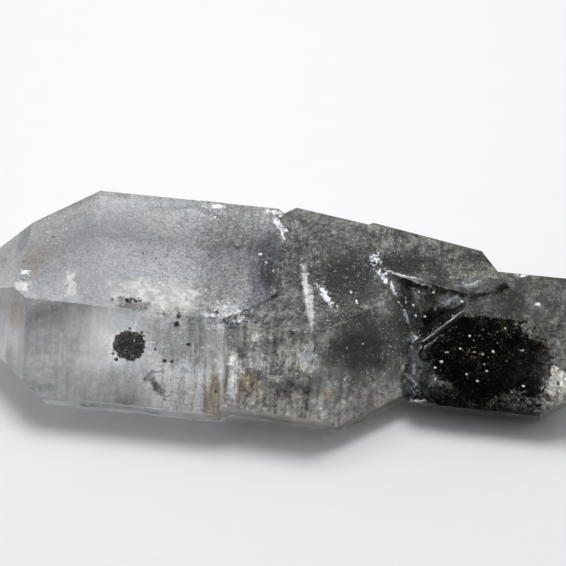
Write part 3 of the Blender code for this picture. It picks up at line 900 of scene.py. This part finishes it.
# %% Cracks and bruises
CRACKS = (
    ((-1.85, 6.0, 10.2), (1.6, 3.0), (50, 20, 20)),
    ((-0.8, 4.1, 10.2), (1.2, 2.6), (50, 0, 50)),
    ((-4.3, -5.3, 10.4), (2.8, 1.3), (25, 10, 8)),
    ((-3.4, -5.0, 10.2), (1.8, 1.4), (60, 10, 30)),
    ((1.3, 1.9, 9.6), (0.6, 2.2), (25, 40, 0)),
    ((2.9, -6.2, 8.6), (2.0, 1.0), (60, 0, 10)),
    ((7.1, 2.9, 9.9), (1.0, 1.7), (50, 0, 0)),
    ((-21.2, -4.0, 10.5), (1.5, 2.2), (20, 0, 0)),
    ((-17.2, -3.6, 10.2), (1.2, 2.2), (25, 10, 0)),
    ((-9.8, -8.6, 6.0), (2.4, 0.7), (47, 0, 40)),
)
BRUISES = (
    ((-1.9, 6.3, 10.8), (2.6, 1.0), (0, 0, -10)),
    ((-1.3, 5.0, 10.85), (1.0, 3.6), (0, 0, 36)),
    ((-0.9, 4.0, 10.85), (0.6, 2.6), (0, 0, 18)),
    ((-5.2, -5.8, 10.8), (3.0, 1.6), (30, 0, 4)),
    ((-3.8, -5.2, 10.8), (4.0, 3.4), (20, 0, 10)),
    ((-3.6, -5.0, 10.8), (2.4, 2.2), (20, 0, 50)),
    ((-6.7, 6.4, 10.8), (2.0, 0.8), (0, 0, 0)),
    ((2.6, -7.2, 8.6), (2.6, 1.4), (60, 0, 6)),
    ((2.8, -6.9, 9.1), (0.8, 2.0), (60, 0, 0)),
    ((7.0, 2.6, 10.45), (1.3, 2.0), (0, 0, 0)),
    ((-21.1, -3.2, 10.8), (1.4, 0.9), (0, 0, 0)),
    ((11.7, -5.8, 2.7), (2.2, 1.0), (60, 0, 0)),
    ((11.4, -4.6, 3.8), (0.8, 1.4), (60, 0, 30)),
    ((19.2, 3.0, 9.8), (1.5, 0.5), (0, 0, 15)),
    ((20.6, 0.0, 9.8), (0.8, 0.5), (0, 0, 0)),
    ((3.4, -1.9, 10.45), (0.9, 3.8), (0, 0, 32)),
    ((12.2, -2.9, 7.3), (3.6, 0.7), (57, 0, 44)),
    ((14.2, -1.7, 9.0), (3.6, 0.6), (57, 0, 44)),
    ((13.6, 0.0, 9.4), (2.8, 0.8), (35, 0, 38)),
    ((15.2, 1.0, 10.1), (2.4, 0.6), (30, 0, 36)),
    ((8.1, 0.5, 10.2), (4.6, 0.8), (15, 0, -51)),
    ((10.2, -1.7, 8.5), (3.4, 0.5), (59, 0, -59)),
    ((11.1, -4.2, 5.0), (0.8, 2.4), (60, 0, 8)),
    ((11.0, -2.6, 6.6), (0.7, 2.4), (60, 0, 0)),
)
cracks = sheets("healed_cracks", CRACKS)
bruises = sheets("bruises", BRUISES, rough=0.05, wrap=True)

WHITES = ((0.84, 0.87, 0.96), (0.98, 0.97, 0.97))
white_look = torn_finish("feathery_white", WHITES, 0.40, 0.06, 0.22, (0.50, 0.54), 1.0)
finish_piece(cracks, white_look, "quartz")
finish_piece(bruises, white_look, "quartz")

# %% [markdown]
# ## Milky and smoky films
# Where two crystals touch, a film lies between them: milky where it is dry, smoky where it holds dust.
# The films are laid as the bruises are, but more evenly, and the finish lets some light through. The milky film
# along the back crystal's overhang also covers the shadow line under it, so there it is partly painted light.

# %% Milky and smoky films
MILK = (
    ((-9.8, -4.1, 10.8), (9.6, 3.5), (0, 0, 0)),
    ((-9.6, -4.3, 10.8), (6.8, 2.9), (0, 0, 0)),
    ((2.05, -2.2, 10.45), (0.8, 8.6), (0, 0, 13)),
    ((2.5, -3.2, 10.45), (0.6, 6.0), (0, 0, 8)),
    ((3.0, -6.7, 9.5), (0.8, 1.8), (60, 0, 0)),
    # partly painted light: this film lies over the shadow line under the back crystal's overhang
    ((9.7, 1.1, 10.35), (5.2, 0.5), (25, 0, -15)),
    ((-21.2, -4.8, 10.8), (2.2, 1.8), (0, 0, 0)),
    ((-17.2, -3.9, 10.8), (1.2, 3.0), (0, 0, 12)),
)
SMOKY = (
    ((14.4, 0.6, 9.7), (4.8, 1.4), (35, 0, 38)),
    ((13.2, -2.3, 8.1), (6.4, 0.8), (57, 0, 44)),
    ((11.0, -3.8, 5.2), (1.3, 5.0), (60, 0, 4)),
)
milk = sheets("milky_films", MILK, rough=0.03, wrap=True)
smoky = sheets("smoky_films", SMOKY, rough=0.03, wrap=True)
CREAMS = ((0.70, 0.69, 0.67), (0.96, 0.95, 0.93))
GREYS = ((0.09, 0.10, 0.11), (0.30, 0.31, 0.33))
milk_look = torn_finish("milky_film", CREAMS, 0.7, 0.12, 0.30, (0.34, 0.64), 0.6)
smoky_look = torn_finish("smoky_film", GREYS, 0.8, 0.20, 0.34, (0.36, 0.60), 0.75)
finish_piece(milk, milk_look, "quartz")
finish_piece(smoky, smoky_look, "quartz")

# %% [markdown]
# ## Dust films
# While the crystal grew, stibnite dust settled on its faces and was buried. Larger sheets deep inside,
# with a black finish full of holes, give the dark places the depth that a painted face can't.

# %% Dust films
DUSTY = (
    ((4.8, 0.9, 9.3), (4.4, 4.0), (25, 0, 0)),
    ((4.7, 1.7, 7.4), (4.8, 4.4), (25, 10, 0)),
    ((6.9, -4.0, 6.4), (6.4, 4.6), (47, 0, -5)),
    ((6.4, -2.8, 5.4), (7.0, 5.0), (47, 0, 5)),
    ((10.9, 3.0, 9.2), (7.6, 2.4), (25, 0, 0)),
    ((10.8, 3.8, 7.8), (8.0, 3.0), (25, 0, 0)),
    ((18.8, 1.0, 8.6), (2.4, 2.0), (25, 0, 0)),
    ((16.3, -3.4, 5.6), (10.0, 5.6), (47, 0, 0)),
    ((13.0, -0.6, 7.6), (4.6, 2.8), (25, 0, 0)),
    ((-1.5, 0.2, 9.6), (2.6, 7.0), (25, 0, 0)),
    ((-9.6, -8.8, 5.1), (3.4, 1.3), (57, 0, -40)),
)
dusty = sheets("dust_films", DUSTY, rough=0.2)
BLACKS = ((0.018, 0.018, 0.018), (0.05, 0.045, 0.035))
dusty_look = torn_finish("dust_film", BLACKS, 0.8, 0.10, 0.40, (0.36, 0.66), 0.88)
finish_piece(dusty, dusty_look, "stibnite")

# %% [markdown]
# ## Glints
# Tiny flat bubbles and chips inside the dark crystal flash white. The flashes are painted highlights: the same
# cleaved grains, strewn just under the faces and finished white, stand in for glints of reflected light, with
# the brightest ones set on the skin where the photograph has them.

# %% Glints
GLINTS = (
    ((17.0, -3.0, 6.2), (5.2, 0.7, 3.0), 60), ((12.8, -1.6, 8.0), (2.6, 1.0, 1.4), 40),
    ((9.2, 0.2, 9.7), (2.2, 2.2, 0.6), 36), ((6.4, -3.4, 8.6), (4.6, 3.0, 1.4), 36),
    ((4.0, -1.6, 10.0), (2.0, 2.4, 0.4), 24), ((-2.4, 2.0, 10.4), (2.0, 4.4, 0.3), 40),
    ((19.4, -1.0, 8.9), (2.2, 1.6, 0.7), 24), ((-4.4, -5.0, 10.4), (2.4, 1.0, 0.4), 30),
)
draw = random.Random(12)
places = []
for at, half, count in GLINTS:
    for _ in range(count):
        point = Vector(at) + Vector(a * b for a, b in zip(in_ball(draw), half))
        size = 0.05 + 0.20 * draw.random() ** 3
        places.append((draw.choice(("lump", "blade")), kept_inside(point, 0.03), size, any_turn(draw)))
# painted highlights: the brightest glints, each set on the skin
SPARKS = (
    (12.17, 0.2, 9.81), (10.57, -0.63, 8.76), (10.97, -1.1, 8.24), (14.61, -0.42, 9.65), (13.32, -3.92, 6.22),
    (14.76, -3.38, 7.33), (16.51, -3.52, 6.91), (16.9, -3.85, 6.34), (17.14, -4.23, 5.69), (16.39, -4.58, 5.08),
    (15.46, -4.45, 5.29), (12.98, -4.81, 4.67), (12.96, -4.25, 5.65), (17.86, -2.93, 7.94), (17.44, -3.25, 7.37),
    (18.14, -2.26, 9.09), (19.75, -2.22, 9.17), (19.7, -3.17, 7.52), (20.24, -4.62, 5.01), (9.96, -0.49, 9.25),
    (9.37, -1.29, 9.67), (7.14, 3.05, 10.45), (7.55, 2.32, 10.45), (8.12, 0.94, 10.45), (8.71, 0.09, 10.25),
    (9.13, -0.63, 9.89), (10.14, -2.75, 6.48), (10.29, -3.05, 5.72), (4.67, -3.19, 10.45), (4.15, -2.93, 10.45),
    (3.92, -2.42, 10.45), (6.13, -2.44, 10.45), (5.58, -1.3, 10.45), (6.03, -5.74, 7.15), (4.98, -6.57, 7.2),
    (13.74, -3.55, 6.86), (15.47, -2.76, 8.23), (-7.75, 6.17, 10.8), (-6.72, 5.03, 10.8), (-1.61, 0.64, 10.87),
    (-2.21, 1.35, 10.87), (-1.15, -0.22, 10.9),
)
for painted_spark in SPARKS:
    for _ in range(2):
        point = Vector(painted_spark) + in_ball(draw) * 0.2
        places.append(("lump", kept_inside(point, -0.02), draw.uniform(0.06, 0.24), any_turn(draw)))
glints = grown("glints", places)
# painted highlights: a plain white finish stands in for the light that bubbles and chips reflect
g = Bench("white_glint")
glint_look = g.finish(Base_Color=g.blend(g.clouds(0.3), (0.9, 0.92, 0.95), (1.0, 1.0, 1.0)), Roughness=0.25)
finish_piece(glints, glint_look, "quartz")

# %% Put the models away
for model in (*GRAINS.values(), form):
    bpy.data.objects.remove(model)

# %% [markdown]
# ## Floor and light
# The photograph was taken on white card under a broad light from above and a little behind, with a darker
# room in front. A bright sky that fades towards the front does the same here, and one soft lamp
# overhead keeps a shadow under the crystal's overhang. It hangs where the level top faces don't mirror
# it to the camera, because its image would wash out the dark crystals.

# %% Floor
bpy.ops.object.select_all(action="DESELECT")
bpy.ops.mesh.primitive_plane_add(size=2, location=(0, 0, -0.00002))
floor = fresh("floor")
f = Bench("white_card")
card = f.finish(
    Base_Color=f.blend(f.clouds(3.0, 4.0), (0.84, 0.84, 0.86), (0.86, 0.86, 0.87)),
    Roughness=0.8,
    Normal=f.bump(f.clouds(0.3, 3.0), 0.01),
)
floor.data.materials.append(card)

# %% Light
world = bpy.data.worlds.new("studio")
bpy.context.scene.world = world
world.use_nodes = True
sky = world.node_tree
way = sky.nodes.new("ShaderNodeTexCoord").outputs["Generated"]
tip = sky.nodes.new("ShaderNodeVectorMath")
tip.operation = "DOT_PRODUCT"
tip.inputs[1].default_value = (0.0, 0.55, 0.75)
sky.links.new(way, tip.inputs[0])
fade = sky.nodes.new("ShaderNodeMapRange")
fade.interpolation_type = "SMOOTHSTEP"
fade.inputs["From Min"].default_value, fade.inputs["From Max"].default_value = -0.05, 0.75
fade.inputs["To Min"].default_value, fade.inputs["To Max"].default_value = 0.03, 0.72
sky.links.new(tip.outputs["Value"], fade.inputs["Value"])
sky.links.new(fade.outputs[0], sky.nodes["Background"].inputs["Strength"])
sky.nodes["Background"].inputs["Color"].default_value = (1.0, 1.0, 1.02, 1.0)

lamp = bpy.data.objects.new("overhead", bpy.data.lights.new("overhead", "AREA"))
bpy.context.scene.collection.objects.link(lamp)
lamp.data.size, lamp.data.energy = 0.09, 0.19
lamp.location = (-0.02, 0.045, 0.165)
lamp.rotation_euler = lamp.location.to_track_quat("Z", "Y").to_euler()
print("lit")
